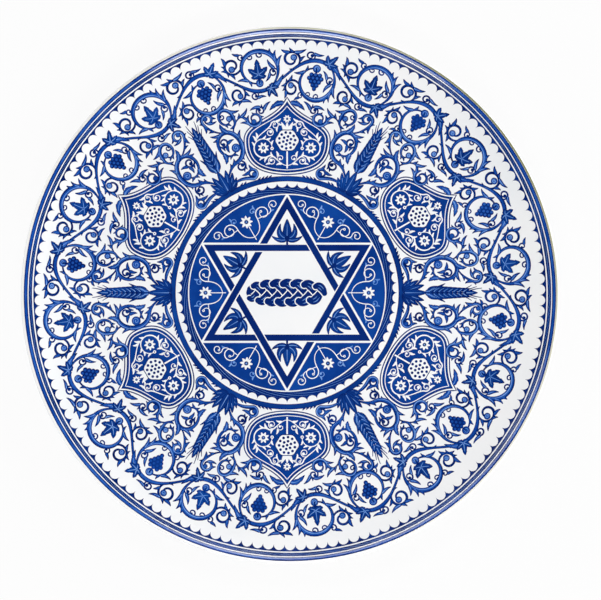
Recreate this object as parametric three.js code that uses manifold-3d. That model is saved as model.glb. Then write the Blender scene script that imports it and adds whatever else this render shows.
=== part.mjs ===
// Round challah tray: one thrown and glazed porcelain body with a foot ring, and the blue
// underglaze transfers that lie on its upper face. Millimetres, +Z up, with the origin at
// the middle of the foot ring's base.

import * as THREE from "three";
import { mergeVertices } from "three/addons/utils/BufferGeometryUtils.js";
import Module from "manifold-3d";

const wasm = await Module();
wasm.setup();

// Porcelain body
const trayRadius = 160;
const wellRadius = 108;
const rimAngle = THREE.MathUtils.degToRad(25);
const wellThickness = 5;
const lipRadius = 2;
const footRadius = 95;
const footBaseWidth = 3;
const footRootWidth = 6.5;
const footHeight = 3;

// Transfers: how thick the print is, and how far it floats over the facets of the body
const printThickness = 0.12;
const printGap = 0.2;

// Borders round the rim, from the crown of the lip inwards
const rimBandWidth = 2.2;
const rimBandGap = 0.5;
const ropeBandWidth = 2;
const ropeBandGap = 0.7;
const scallopLineWidth = 0.7;
const scallopDepth = 3.2;
const scallopPitch = 6.55;

// Medallion. Its transfer was laid by hand, a little off the middle of the tray.
const medallionShift = new THREE.Vector2(-1.72, 1.34);
const groundRadius = 58.7;
const medallionGap = 0.7;
const medallionRopeWidth = 3.8;
const medallionToothDepth = 2.8;
const medallionToothPitch = 5.8;
const medallionWhiteWidth = 0.8;
const medallionBandWidth = 3.2;

// Six-pointed star of two woven triangles, inside the medallion's disc
const starTipGap = 1.1;
const starBarWidth = 3.75;
const starCrossingGap = 0.6;
const starOutlineWidth = 1.25;

// Flower in the ground and tulip in the point, as shares of the star's inner radius
const rosetteShare = 0.49;
const rosetteRadiusShare = 0.14;
const budLengthShare = 0.49;
const budWidthShare = 0.19;
const budPetals = [
  { root: [0.017, 0.083], pull: [0.229, 0.153], tip: [0.135, 0.396], width: 0.139 },
  { root: [0.007, 0.066], pull: [0.153, 0.021], tip: [0.243, 0.118], width: 0.09 },
];

// Braided loaf in the middle of the star
const loafClearance = 3.9;
const loafWidth = 17;
const loafFullness = 2.6;
const loafPlaits = 7;
const loafLobeDepth = 0.1;
const loafSpineWidth = 1.4;
const loafSlitWidth = 0.9;
const loafSlitLean = 4.5;
const loafSlitReach = 0.75;
const loafSlitSpan = 0.9;

// Field between the medallion and the borders: panels and sprays inside, a running vine outside
const fieldGap = 0.85;
const panelCount = 6;
const panelFootGap = 1.2;
const panelWidthShare = 1.147;
const panelFootWidth = 0.7;
const panelTipWidth = 0.3;
const panelFoot = 0.01;
const panelHip = 0.14;
const panelWaist = 0.45;
const panelNeck = 0.7;
const fruitShare = 0.16;
const fruitLeafLength = 1.3;
const fruitLeafWidth = 0.45;
const fruitLeafLean = 1.05;
const fruitLeafGap = 1;
const flowerAcrossShare = 0.59;
const flowerAlongShare = 0.35;
const flowerRadiusShare = 0.077;
const vineShare = 0.4;
const vineWaves = 12;
const vineSwingShare = 0.3;
const vineVoluteShare = 0.425;
const vineVoluteTurns = -0.92;
const vineVoluteWidth = 2;
const vineEndGap = 0.4;
const stemWidth = 1.3;
const tipWidth = 0.8;

// What grows on a coil of the vine, as shares of the coil's radius
const coilEndShare = 0.63;
const coilBossShare = 0.17;
const coilLeafShare = 0.63;
const coilStalkShare = 0.4;
const forkLeafShare = 0.6;
const forkLeafLean = 0.6;
const bunchEdge = [
  [0.38, 0.08],
  [0.36, -0.22],
  [0.22, -0.44],
];
const bunchLength = 0.7;

// Edge of a vine leaf, in sizes of the leaf: how far each tip and notch leans to its side, and
// how far it is from the root
const vineLeafEdge = [
  { lean: 0.45, reach: 0.45 },
  { lean: 0.95, reach: 0.85 },
  { lean: 1.4, reach: 0.35 },
  { lean: 1.85, reach: 0.6 },
];
const vineLeafTip = 1.1;
const vineLeafFoot = 0.15;

// Spray between two panels, drawn on a grid of so many squares across and along, which is
// stretched to the room
const sprayWidth = 2.5;
const sprayHeight = 3.6;
const sprayLarge = {
  centre: new THREE.Vector2(1.4, 1.85),
  radius: 0.88,
  start: -Math.PI / 2,
  turns: 1.15,
  end: 0.36,
};
const spraySmall = { centre: new THREE.Vector2(2.05, 3.1), radius: 0.5, start: -0.4, turns: 1, end: 0.18 };
const crestCurl = { centre: new THREE.Vector2(1.08, 3.5), radius: 0.34, start: 3.44, turns: -1.2, end: 0.1 };
const shoulderCurl = {
  centre: new THREE.Vector2(3.76, 2.46),
  radius: 0.35,
  start: 2.84,
  turns: 1.15,
  end: 0.11,
};
const largeBoss = 0.19;
const smallBoss = 0.13;
const curlLift = 0.35;
const sprayStem = 0.2;
const curlStem = 0.11;
const sprayTip = 0.067;

// Sweep of the spray along the medallion: its length as a share of the way to the panel's
// middle, and its rise and the curl at its end in squares along
const sweepShare = 0.46;
const sweepRise = 0.2;
const sweepCurl = { radius: 0.26, turns: 1.15, end: 0.07 };

// Fan of lobes at the spray's foot, in squares along: the lobes shorten to the sides
const palmetteLobes = 4;
const palmetteSpread = 1.3;
const palmetteLength = 1.17;
const palmetteShortening = 0.45;
const palmetteNotch = 0.65;

// Ear of wheat on the grid: pairs of grains that get smaller towards its tip
const earStart = 1.26;
const earGrains = 5;
const earPitch = 0.42;
const earTaper = 0.05;
const grainLength = 0.6;
const grainReach = 0.39;
const grainRoot = 0.2;
const earTip = 0.4;

// Facets
const segments = 72;
const rimRows = 6;
const lipSteps = 5;
const stepsPerTurn = 8;
const curlStepsPerTurn = 6;
const bossSteps = 5;
const arcSteps = 9;
const stemSteps = 8;
const flowerSteps = 8;
const fruitSteps = 12;
const sweepSteps = 3;

const porcelain = new THREE.MeshStandardMaterial({ color: 0xf4f3ee, roughness: 0.12, metalness: 0 });
const navyInk = new THREE.MeshStandardMaterial({ color: 0x0d3585, roughness: 0.15, metalness: 0 });
const blueInk = new THREE.MeshStandardMaterial({ color: 0x174a97, roughness: 0.15, metalness: 0 });
const groundInk = new THREE.MeshStandardMaterial({ color: 0x2f62aa, roughness: 0.15, metalness: 0 });

const fullTurn = 2 * Math.PI;
const group = new THREE.Group();

const at = (radius, angle) => new THREE.Vector2(radius * Math.cos(angle), radius * Math.sin(angle));
const mix = (from, to, share) => from + (to - from) * share;
const count = (total) => Array.from({ length: total }, (_, index) => index);

// Upper face of the tray, as heights over the foot's base
const wellHeight = footHeight + wellThickness;
const crownRadius = trayRadius - lipRadius;
const rimEdge = crownRadius - lipRadius * Math.sin(rimAngle);
const rimCurve = Math.tan(rimAngle) / (2 * (rimEdge - wellRadius));
const rimHeight = (radius) => wellHeight + rimCurve * (radius - wellRadius) ** 2;
const rimSlope = (radius) => Math.atan(2 * rimCurve * (radius - wellRadius));
const lipCentre = new THREE.Vector2(crownRadius, rimHeight(rimEdge) - lipRadius * Math.cos(rimAngle));
const rimRadii = count(rimRows + 1).map((row) => mix(wellRadius, rimEdge, row / rimRows));

function faceHeight(radius) {
  if (radius <= wellRadius) return wellHeight;
  if (radius <= rimEdge) return rimHeight(radius);
  return lipCentre.y + Math.sqrt(lipRadius ** 2 - (radius - crownRadius) ** 2);
}

function solidOf(geometry) {
  geometry.deleteAttribute("normal");
  geometry.deleteAttribute("uv");
  const merged = mergeVertices(geometry, 1e-4);
  const vertProperties = merged.attributes.position.array;
  const triVerts = new Uint32Array(merged.index.array);
  return new wasm.Manifold(new wasm.Mesh({ numProp: 3, vertProperties, triVerts }));
}

// Flat print, standing on z = 0, bent to follow the upper face
function laid(solid) {
  const mesh = solid.getMesh();
  const position = new THREE.BufferAttribute(mesh.vertProperties, mesh.numProp);
  count(position.count).forEach((index) => {
    const radius = Math.hypot(position.getX(index), position.getY(index));
    position.setZ(index, position.getZ(index) + faceHeight(radius) + printGap);
  });
  const geometry = new THREE.BufferGeometry();
  geometry.setAttribute("position", position);
  geometry.setIndex(new THREE.BufferAttribute(mesh.triVerts, 1));
  geometry.computeVertexNormals();
  return geometry;
}

function addPiece(name, geometry, material) {
  const mesh = new THREE.Mesh(geometry, material);
  mesh.name = name;
  group.add(mesh);
}

// Closed section, radius by height, turned round the upright axis
const turned = (section) => new THREE.LatheGeometry(section, segments).rotateX(Math.PI / 2);

// Body: round the section from the middle of the underside, over the foot, out to the lip
// and back along the upper face
function trayBody() {
  const footMiddle = footRadius - footBaseWidth / 2;
  const foot = [
    new THREE.Vector2(footMiddle - footRootWidth / 2, footHeight),
    new THREE.Vector2(footMiddle - footBaseWidth / 2, 0),
    new THREE.Vector2(footMiddle + footBaseWidth / 2, 0),
    new THREE.Vector2(footMiddle + footRootWidth / 2, footHeight),
  ];
  const underside = rimRadii.map((radius, row) => {
    const thickness = mix(wellThickness, 2 * lipRadius, row / rimRows);
    const slope = rimSlope(radius);
    return new THREE.Vector2(
      radius + thickness * Math.sin(slope),
      rimHeight(radius) - thickness * Math.cos(slope),
    );
  });
  const lip = count(lipSteps).map((step) => {
    const angle = mix(rimAngle - Math.PI / 2, Math.PI / 2, (step + 1) / lipSteps);
    return at(lipRadius, angle).add(lipCentre);
  });
  const upperFace = rimRadii.map((radius) => new THREE.Vector2(radius, rimHeight(radius))).reverse();
  const [bottom, top] = [footHeight, wellHeight].map((height) => new THREE.Vector2(0, height));
  return turned([bottom, ...foot, ...underside, ...lip, ...upperFace, top]);
}

// Plain printed band between two radii, round the middle of the tray
function band(inner, outer) {
  const radii = [inner, ...[rimEdge].filter((radius) => radius > inner && radius < outer), outer];
  const edge = (offset) => radii.map((radius) => new THREE.Vector2(radius, faceHeight(radius) + offset));
  const lower = edge(printGap);
  const upper = edge(printGap + printThickness).reverse();
  return turned([...lower, ...upper, lower[0].clone()]);
}

// A transfer: its outlines joined in plan, less its cuts, turned and shifted to their place and
// laid on the tray
function transfer({ outlines, cuts = [], turn = 0, shift = medallionShift }) {
  const depth = printThickness;
  const prismOf = (outline) => {
    const geometry = new THREE.ExtrudeGeometry(outline, { depth, bevelEnabled: false, curveSegments: 6 });
    return solidOf(geometry.rotateZ(turn).translate(shift.x, shift.y, 0));
  };
  const joined = outlines.map(prismOf).reduce((sum, prism) => sum.add(prism));
  const printed = cuts.map(prismOf).reduce((rest, prism) => rest.subtract(prism), joined);
  return laid(printed);
}

function outlineOf(points, holes = []) {
  const outline = new THREE.Shape(points);
  outline.holes = holes.map((hole) => new THREE.Path(hole));
  return outline;
}

const circle = (radius, steps = segments, centre = new THREE.Vector2()) =>
  count(steps).map((step) => at(radius, (fullTurn * step) / steps).add(centre));

// Circle broken into teeth that point from the base radius to the tip radius
function teeth(baseRadius, tipRadius, pitch) {
  const total = Math.round((fullTurn * baseRadius) / pitch);
  return count(2 * total).map((step) => at(step % 2 ? tipRadius : baseRadius, (Math.PI * step) / total));
}

// Where two straight lines meet, each given by the direction of its normal and its distance
function crossing(angleA, distanceA, angleB, distanceB) {
  const [a, b] = [at(1, angleA), at(1, angleB)];
  const area = a.x * b.y - a.y * b.x;
  return new THREE.Vector2(
    (distanceA * b.y - distanceB * a.y) / area,
    (distanceB * a.x - distanceA * b.x) / area,
  );
}

// Shape along a line of points, with its width given for each share of the line
function ribbon(line, widthAt) {
  const sides = line.map((point, index) => {
    const before = line[Math.max(index - 1, 0)];
    const after = line[Math.min(index + 1, line.length - 1)];
    const across = after.clone().sub(before).normalize().rotateAround(new THREE.Vector2(), Math.PI / 2);
    across.multiplyScalar(widthAt(index / (line.length - 1)) / 2);
    return [point.clone().add(across), point.clone().sub(across)];
  });
  return outlineOf([...sides.map((side) => side[0]), ...sides.map((side) => side[1]).reverse()]);
}

// A brush stroke, narrowing from its root to its tip
const stroke = (line, rootWidth = stemWidth, endWidth = tipWidth) =>
  ribbon(line, (share) => mix(rootWidth, endWidth, share));

// A petal, widest in its middle
const petal = (line, width) => ribbon(line, (share) => width * Math.sin(Math.PI * mix(0.12, 0.95, share)));

// Points of a spiral that winds in from its outer radius
function volute({ centre, radius, start, turns, end }, perTurn = stepsPerTurn) {
  const steps = Math.round(Math.abs(turns) * perTurn);
  return count(steps + 1).map((step) => {
    const share = step / steps;
    return at(mix(radius, end, share), start + fullTurn * turns * share).add(centre);
  });
}

const curve = (start, pull, end, steps = 3) =>
  new THREE.QuadraticBezierCurve(start, pull, end).getPoints(steps);

// Pointed leaf from its root along a heading
function leaf(root, heading, length, width) {
  const tip = at(length, heading).add(root);
  const bulge = (side) => at(length / 2, heading).add(root).add(at(width, heading + (side * Math.PI) / 2));
  return outlineOf([...curve(root, bulge(1), tip), ...curve(tip, bulge(-1), root).slice(1, -1)]);
}

// Borders round the rim
const rimBandInner = crownRadius - rimBandWidth;
const ropeOuter = rimBandInner - rimBandGap;
const ropeInner = ropeOuter - ropeBandWidth;
const scallopOuter = ropeInner - ropeBandGap;
const scallopBase = scallopOuter - scallopLineWidth;

function addBorders() {
  const edging = outlineOf(circle(scallopOuter), [
    teeth(scallopBase, scallopBase - scallopDepth, scallopPitch),
  ]);
  addPiece("rim_band", band(rimBandInner, crownRadius), blueInk);
  addPiece("rope_band", band(ropeInner, ropeOuter), blueInk);
  addPiece("scallop_border", transfer({ outlines: [edging], shift: new THREE.Vector2() }), blueInk);
}

// Rings round the medallion
const medallionRopeInner = groundRadius + medallionGap;
const medallionRopeOuter = medallionRopeInner + medallionRopeWidth;
const medallionToothTip = medallionRopeOuter + medallionToothDepth;
const medallionBandInner = medallionToothTip + medallionWhiteWidth;

function addMedallionRings() {
  const toothed = outlineOf(teeth(medallionRopeOuter, medallionToothTip, medallionToothPitch), [
    circle(medallionRopeInner),
  ]);
  const plain = outlineOf(circle(medallionBandInner + medallionBandWidth), [circle(medallionBandInner)]);
  addPiece("medallion_rope_band", transfer({ outlines: [toothed] }), navyInk);
  addPiece("medallion_band", transfer({ outlines: [plain] }), blueInk);
}

// One bent bar of the star: it has a tip, passes over one neighbour and ends short of the
// two that pass over it
const starInradius = (groundRadius - starTipGap) / 2;
const level = Math.PI / 2;
const slant = Math.PI / 6;
const otherSlant = Math.PI - slant;
const farSlant = -slant;

function starBar() {
  const inner = starInradius - starBarWidth;
  const farEnd = inner - starCrossingGap;
  const nearEnd = starInradius + starCrossingGap;
  return outlineOf([
    crossing(slant, starInradius, otherSlant, starInradius),
    crossing(slant, starInradius, farSlant, farEnd),
    crossing(slant, inner, farSlant, farEnd),
    crossing(slant, inner, otherSlant, inner),
    crossing(otherSlant, inner, level, nearEnd),
    crossing(otherSlant, starInradius, level, nearEnd),
  ]);
}

// Printed ground between two tips of the star, out to the edge of the medallion's disc,
// with a flower left white in it
function groundPanel() {
  const clear = starInradius + starOutlineWidth;
  const spread = Math.acos(clear / groundRadius);
  const arc = count(arcSteps + 1).map((step) =>
    at(groundRadius, mix(level - spread, slant + spread, step / arcSteps)),
  );
  const valley = crossing(slant, clear, level, clear);
  const middle = valley.clone().setLength(valley.length() + starInradius * rosetteShare);
  const flower = circle(starInradius * rosetteRadiusShare, flowerSteps, middle);
  return outlineOf([valley, ...arc], [flower]);
}

// Tulip between two sepals in the point of the star
function starBud() {
  const root = new THREE.Vector2(0, starInradius + starOutlineWidth);
  const sides = budPetals.flatMap(({ root: from, pull, tip, width }) =>
    [1, -1].map((side) => {
      const points = [from, pull, tip].map(([x, y]) => new THREE.Vector2(side * x, y));
      const line = points.map((point) => point.multiplyScalar(starInradius).add(root));
      return petal(curve(...line), starInradius * width);
    }),
  );
  return [leaf(root, level, starInradius * budLengthShare, starInradius * budWidthShare), ...sides];
}

function addStar() {
  count(6).forEach((index) => {
    const turn = (fullTurn * index) / 6;
    addPiece(`ground_panel_${index + 1}`, transfer({ outlines: [groundPanel()], turn }), groundInk);
    addPiece(`star_bar_${index + 1}`, transfer({ outlines: [starBar()], turn }), navyInk);
    addPiece(`star_bud_${index + 1}`, transfer({ outlines: starBud(), turn }), blueInk);
  });
}

// Loaf seen from above: a swelling outline, one lobe for each plait, with slits between them
function loaf() {
  const hexagonCorner = (starInradius - starBarWidth) / Math.cos(slant);
  const loafLength = 2 * (hexagonCorner - loafClearance);
  const outlineSteps = stepsPerTurn * loafPlaits;
  const taper = (along) => Math.sqrt(Math.max(1 - Math.abs(along) ** loafFullness, 0));
  const halfWidth = (along) => (loafWidth / 2) * taper(along);
  const edge = count(outlineSteps).map((step) => {
    const angle = (fullTurn * step) / outlineSteps;
    const lobe = 1 - loafLobeDepth * Math.abs(Math.cos((loafPlaits * angle) / 2)) ** 3;
    const along = Math.cos(angle);
    return new THREE.Vector2((along * loafLength) / 2, Math.sign(Math.sin(angle)) * halfWidth(along) * lobe);
  });
  const slits = count(loafPlaits).flatMap((index) => {
    const middle = (index + 0.5) / loafPlaits - 0.5;
    const reach = halfWidth(2 * middle) * loafSlitReach;
    const root = middle * loafLength * loafSlitSpan - loafSlitLean / 2;
    const end = root + loafSlitLean;
    return [1, -1].map((side) =>
      outlineOf([
        new THREE.Vector2(root, (side * loafSpineWidth) / 2),
        new THREE.Vector2(end, side * reach),
        new THREE.Vector2(end + loafSlitWidth, side * reach),
        new THREE.Vector2(root + loafSlitWidth, (side * loafSpineWidth) / 2),
      ]),
    );
  });
  return { outlines: [outlineOf(edge)], cuts: slits };
}

// Field, from the medallion outwards
const fieldInner = medallionBandInner + medallionBandWidth + fieldGap;
const fieldOuter = scallopBase - scallopDepth - fieldGap - medallionShift.length();
const vineWidth = vineShare * (fieldOuter - fieldInner);
const vineRadius = fieldOuter - vineWidth / 2;
const panelsOuter = fieldOuter - vineWidth - fieldGap;
const panelStart = fieldInner + panelFootGap;
const panelLength = panelsOuter - panelStart;
const panelWidth = panelLength * panelWidthShare;

// Ogee panel with a fruit, two leaves and two flowers left white in it
function panel() {
  const half = panelWidth / 2;
  const shape = new THREE.Shape();
  const top = panelStart + panelLength;
  const shares = [panelFoot, panelHip, panelWaist, panelNeck];
  const [foot, hip, waist, neck] = shares.map((share) => panelStart + panelLength * share);
  shape.moveTo(0, panelStart);
  shape.bezierCurveTo(half * panelFootWidth, foot, half, hip, half, waist);
  shape.bezierCurveTo(half, neck, half * panelTipWidth, neck, 0, top);
  shape.bezierCurveTo(-half * panelTipWidth, neck, -half, neck, -half, waist);
  shape.bezierCurveTo(-half, hip, -half * panelFootWidth, foot, 0, panelStart);
  const fruitRadius = panelLength * fruitShare;
  const fruitCentre = new THREE.Vector2(0, waist);
  const fruit = circle(fruitRadius, fruitSteps, fruitCentre);
  const leafRoot = fruitCentre.clone().add(new THREE.Vector2(0, -fruitRadius - fruitLeafGap));
  const leaves = [1, -1].map((side) => {
    const root = leafRoot.clone().add(new THREE.Vector2(side * fruitLeafGap, 0));
    const heading = level - side * fruitLeafLean;
    return leaf(root, heading, fruitRadius * fruitLeafLength, fruitRadius * fruitLeafWidth);
  });
  const flowerHeight = panelStart + panelLength * flowerAlongShare;
  const flowers = [1, -1].map((side) => {
    const centre = new THREE.Vector2(side * half * flowerAcrossShare, flowerHeight);
    return outlineOf(circle(panelLength * flowerRadiusShare, flowerSteps, centre));
  });
  return { outlines: [shape], cuts: [outlineOf(fruit), ...leaves, ...flowers] };
}

// The spray's grid: where its points lie in the room between two panels
const sprayMiddle = (panelsOuter + fieldInner) / 2;
const halfPitch = Math.PI / panelCount;
const sprayRoom = (sprayMiddle * Math.sin(halfPitch) - panelWidth / 2 - fieldGap) / Math.cos(halfPitch);
const acrossStep = sprayRoom / sprayWidth;
const alongStep = (panelsOuter - fieldInner) / sprayHeight;
const onGrid = (point) => new THREE.Vector2(point.x * acrossStep, fieldInner + point.y * alongStep);

// Ear of wheat on its stalk, with a saw edge of grains
function ear() {
  const edge = count(earGrains).flatMap((index) => {
    const size = 1 - earTaper * index;
    const low = earStart + earPitch * index;
    return [
      new THREE.Vector2(grainRoot * size, low),
      new THREE.Vector2(grainReach * size, low + grainLength * size),
    ];
  });
  const tip = new THREE.Vector2(0, edge.at(-1).y + earTip);
  const otherEdge = edge.map((point) => new THREE.Vector2(-point.x, point.y)).reverse();
  return outlineOf([new THREE.Vector2(0, 0), ...edge, tip, ...otherEdge].map(onGrid));
}

// Fan of lobes at the spray's foot
function palmette() {
  const foot = new THREE.Vector2(0, fieldInner);
  const edge = count(4 * palmetteLobes + 1).map((step) => {
    const share = step / (2 * palmetteLobes) - 1;
    const length = palmetteLength * (1 - palmetteShortening * share ** 2) * alongStep;
    return at(step % 2 ? length * palmetteNotch : length, level - palmetteSpread * share).add(foot);
  });
  return outlineOf([foot, ...edge]);
}

// Half of the lyre-shaped spray: a volute, a smaller one on its shoulder, and three curls
function sprayHalf(side) {
  const foot = new THREE.Vector2(0, fieldInner);
  const large = volute(sprayLarge).map(onGrid);
  const [small, crest, shoulder] = [spraySmall, crestCurl, shoulderCurl].map((curl) =>
    volute(curl, curlStepsPerTurn).map(onGrid),
  );
  const rise = new THREE.Vector2(0, curlLift * alongStep);
  const parts = [];
  const sides = (line) => line.map((point) => new THREE.Vector2(side * point.x, point.y));
  const addStroke = (line, width) => parts.push(stroke(sides(line), width * alongStep, sprayTip * alongStep));
  const addBoss = (line, size) =>
    parts.push(outlineOf(sides(circle(size * alongStep, bossSteps, line.at(-1)))));
  const lead = new THREE.Vector2(large[0].x / 2, large[0].y);
  addStroke([...curve(foot, lead, large[0]), ...large.slice(1)], sprayStem);
  addBoss(large, largeBoss);
  const join = curve(large[2], small[0].clone().sub(rise), small[0]);
  addStroke([...join, ...small.slice(1)], curlStem);
  addBoss(small, smallBoss);
  addStroke([large[4], crest[0].clone().sub(rise), ...crest], curlStem);
  const arm = curve(join[1], shoulder[0].clone().add(rise), shoulder[0]);
  addStroke([...arm, ...shoulder.slice(1)], curlStem);
  const sweep = count(sweepSteps + 1).map((step) => {
    const share = step / sweepSteps;
    const height = sweepRise * alongStep * Math.sin(Math.PI * share);
    return at(fieldInner + height, level - halfPitch * sweepShare * share);
  });
  const sweepAngle = level - halfPitch * sweepShare;
  const radius = sweepCurl.radius * alongStep;
  const centre = at(fieldInner + radius, sweepAngle);
  const start = sweepAngle - Math.PI;
  const end = sweepCurl.end * alongStep;
  const curl = volute({ centre, radius, start, turns: sweepCurl.turns, end }, curlStepsPerTurn);
  addStroke([...sweep, ...curl.slice(1)], curlStem);
  return parts;
}

// Vine leaf of five lobes
function vineLeaf(root, heading, size) {
  const corner = (side) => ({ lean, reach }) => at(size * reach, heading + side * lean).add(root);
  const tip = at(size * vineLeafTip, heading).add(root);
  const foot = at(-size * vineLeafFoot, heading).add(root);
  return [tip, ...vineLeafEdge.map(corner(1)), foot, ...vineLeafEdge.map(corner(-1)).reverse()];
}

// Bunch of grapes that hangs round a point
function grapes(top, unit) {
  const corner = (side) => ([x, y]) => new THREE.Vector2(side * x, y).multiplyScalar(unit).add(top);
  const tip = new THREE.Vector2(0, -bunchLength * unit).add(top);
  return [...bunchEdge.map(corner(1)), tip, ...bunchEdge.map(corner(-1)).reverse()];
}

// One wave of the running vine: its stem, and a coil under the crest and over the trough, one
// round grapes and one round a leaf
function vineWave() {
  const length = (fullTurn * vineRadius) / vineWaves;
  const vineSwing = vineWidth * vineSwingShare;
  const radius = vineWidth * vineVoluteShare;
  const centre = new THREE.Vector2(0, vineSwing - radius);
  const bend = (point) => at(vineRadius + point.y, level - point.x / vineRadius);
  const stem = count(stemSteps + 1).map((step) => {
    const along = mix(vineEndGap / 2, length - vineEndGap / 2, step / stemSteps);
    return new THREE.Vector2(along, vineSwing * Math.sin((fullTurn * along) / length));
  });
  const parts = [stroke(stem.map(bend), stemWidth, stemWidth)];
  [1, -1].forEach((side) => {
    const middle = length / 2 - (side * length) / 4;
    const place = (point) => bend(new THREE.Vector2(middle + point.x, side * point.y));
    const [start, end] = [level - slant, radius * coilEndShare];
    const coil = volute({ centre, radius, start, turns: vineVoluteTurns, end });
    const stalkEnd = coil.at(-1).clone().sub(new THREE.Vector2(0, radius * coilStalkShare));
    const accent = side > 0 ? grapes(stalkEnd, radius) : vineLeaf(stalkEnd, -level, radius * coilLeafShare);
    const boss = circle(radius * coilBossShare, bossSteps, coil.at(-1));
    const forkLeaf = vineLeaf(coil[0], forkLeafLean, radius * forkLeafShare);
    parts.push(stroke(coil.map(place), vineVoluteWidth));
    parts.push(stroke([coil.at(-1), stalkEnd].map(place), tipWidth));
    parts.push(...[boss, accent, forkLeaf].map((outline) => outlineOf(outline.map(place))));
  });
  return parts;
}

addPiece("tray_body", trayBody(), porcelain);
addBorders();
addMedallionRings();
addStar();
addPiece("loaf_motif", transfer(loaf()), navyInk);
count(panelCount).forEach((index) => {
  const turn = (fullTurn * index) / panelCount;
  const between = turn + Math.PI / panelCount;
  addPiece(`ogee_panel_${index + 1}`, transfer({ ...panel(), turn }), blueInk);
  const outlines = [ear(), palmette(), ...sprayHalf(1), ...sprayHalf(-1)];
  addPiece(`scroll_spray_${index + 1}`, transfer({ outlines, turn: between }), blueInk);
});
count(vineWaves).forEach((index) => {
  const turn = (fullTurn * index) / vineWaves;
  addPiece(`vine_wave_${index + 1}`, transfer({ outlines: vineWave(), turn }), blueInk);
});

export default group;
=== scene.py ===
"""Looks of the challah tray: glazed porcelain with blue transfers under its glaze.

Lengths are in millimetres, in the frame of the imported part, until a mesh is made.
"""

import math

import bpy
import numpy as np
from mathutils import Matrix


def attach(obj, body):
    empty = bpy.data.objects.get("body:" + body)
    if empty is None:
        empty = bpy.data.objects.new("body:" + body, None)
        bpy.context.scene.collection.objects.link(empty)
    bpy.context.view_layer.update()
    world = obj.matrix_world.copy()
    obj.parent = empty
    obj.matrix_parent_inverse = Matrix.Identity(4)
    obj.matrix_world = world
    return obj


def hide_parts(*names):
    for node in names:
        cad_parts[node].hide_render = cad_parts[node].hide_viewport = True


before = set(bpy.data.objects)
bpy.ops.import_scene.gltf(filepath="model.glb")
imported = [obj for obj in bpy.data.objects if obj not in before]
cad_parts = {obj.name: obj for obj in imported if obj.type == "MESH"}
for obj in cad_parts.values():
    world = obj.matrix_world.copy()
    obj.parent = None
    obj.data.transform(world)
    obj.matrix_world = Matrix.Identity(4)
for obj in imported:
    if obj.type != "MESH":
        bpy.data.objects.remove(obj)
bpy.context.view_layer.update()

MM = 0.001
FULL_TURN = 2 * math.pi
UP = math.pi / 2

# Porcelain body
TRAY_RADIUS = 160.0
WELL_RADIUS = 108.0
RIM_ANGLE = math.radians(25)
WELL_THICKNESS = 5.0
LIP_RADIUS = 2.0
FOOT_MIDDLE = 93.5
FOOT_HEIGHT = 3.0
BODY_SEGMENTS = 480
UNDERSIDE_ROWS = 12
OUTER_ROWS = 4
RIM_ROWS = 44
LIP_ROWS = 26
WELL_ROWS = 14

# Section of the foot, distance from its middle by height: the fillet at its root and the
# rounding at its base. The rows of the underside stop short of it by these distances.
FOOT_FILLET = ((4.15, FOOT_HEIGHT), (3.1, FOOT_HEIGHT), (2.705, 2.08))
FOOT_ROUNDING = ((1.7, 0.35), (1.5, 0), (1.15, 0))
FOOT_INNER_ROOM = 4.45
FOOT_OUTER_ROOM = 5.25

# Borders round the rim, from the crown of the lip inwards
RIM_BAND_WIDTH = 2.2
RIM_BAND_GAP = 0.5
ROPE_BAND_WIDTH = 2.0
ROPE_BAND_GAP = 0.7
SCALLOP_LINE_WIDTH = 0.7
SCALLOP_DEPTH = 3.2
SCALLOP_PITCH = 6.55

# Medallion, laid by hand a little off the middle of the tray
MEDALLION_SHIFT = np.array([-1.72, 1.34])
GROUND_RADIUS = 58.7
MEDALLION_GAP = 0.7
MEDALLION_ROPE_WIDTH = 3.8
MEDALLION_TOOTH_DEPTH = 2.8
MEDALLION_TOOTH_PITCH = 5.8
MEDALLION_WHITE_WIDTH = 0.8
MEDALLION_BAND_WIDTH = 3.2

# Six-pointed star and the braided loaf in its middle
STAR_POINTS = 6
STAR_TIP_GAP = 1.1
STAR_BAR_WIDTH = 3.75
STAR_CROSSING_GAP = 0.6
STAR_OUTLINE_WIDTH = 1.25
LOAF_CLEARANCE = 3.9
LOAF_WIDTH = 17.0
LOAF_PLAITS = 7

# Field: panels and sprays inside, a running vine outside
FIELD_GAP = 0.85
PANEL_COUNT = 6
PANEL_FOOT_GAP = 1.2
PANEL_WIDTH = 49.2
FRUIT_SHARE = 0.16
VINE_SHARE = 0.4
VINE_WAVES = 12

# How the print lies on the glaze: its foot, its lowest layer, the rise of each next layer,
# and the shares of that rise that keep shapes of one layer apart
PRINT_SINK = 0.05
PRINT_RISE = 0.02
LAYER_STEP = 0.006
SHAPE_STEP = 0.06
SHAPE_STEPS = 7
CELL = 1.6

CROWN_RADIUS = TRAY_RADIUS - LIP_RADIUS
# The outer lip past the crown, between these distances, gets a painted shade that darkens towards one side
# of the tray. The direction of that side follows.
LIP_SHADE_START = 0.08
LIP_SHADE_END = 1.3
SHADED_SIDE = (0.79, 0.62, 0.0)
WELL_HEIGHT = FOOT_HEIGHT + WELL_THICKNESS
RIM_EDGE = CROWN_RADIUS - LIP_RADIUS * math.sin(RIM_ANGLE)
RIM_CURVE = math.tan(RIM_ANGLE) / (2 * (RIM_EDGE - WELL_RADIUS))
EDGE_HEIGHT = WELL_HEIGHT + RIM_CURVE * (RIM_EDGE - WELL_RADIUS) ** 2
LIP_HEIGHT = EDGE_HEIGHT - LIP_RADIUS * math.cos(RIM_ANGLE)

RIM_BAND_INNER = CROWN_RADIUS - RIM_BAND_WIDTH
ROPE_OUTER = RIM_BAND_INNER - RIM_BAND_GAP
ROPE_INNER = ROPE_OUTER - ROPE_BAND_WIDTH
SCALLOP_OUTER = ROPE_INNER - ROPE_BAND_GAP
SCALLOP_BASE = SCALLOP_OUTER - SCALLOP_LINE_WIDTH

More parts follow.
